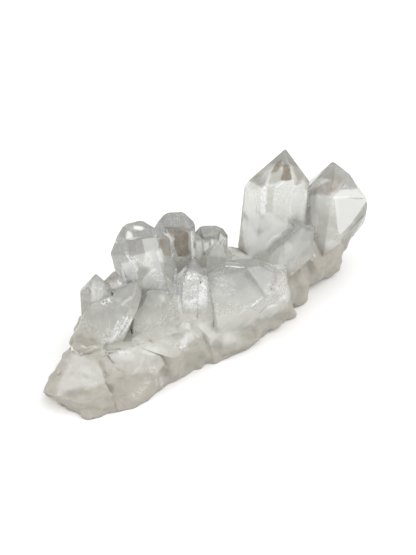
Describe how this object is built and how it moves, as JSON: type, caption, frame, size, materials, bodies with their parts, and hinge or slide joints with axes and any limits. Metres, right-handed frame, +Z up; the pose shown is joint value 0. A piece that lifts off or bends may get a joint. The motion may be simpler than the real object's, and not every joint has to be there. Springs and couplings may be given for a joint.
{
  "type": "quartz crystal cluster",
  "caption": "Long ridge of clear to milky quartz points grown together on one rough milky base, cut flat underneath to stand on a table or shelf as a mineral specimen.",
  "frame": {"origin": "centre of the bounding box in X and Y, on the flat cut underneath", "axes": "+Z up, +X along the ridge towards the two large points, -Y towards the front with the large blunt crystal"},
  "size_m": [0.1192, 0.0436, 0.043],
  "materials": {
    "quartz": "glossy, clear at the tips and milky towards the base"
  },
  "bodies": {
    "root": {"quartz_cluster": "quartz"}
  },
  "joints": []
}
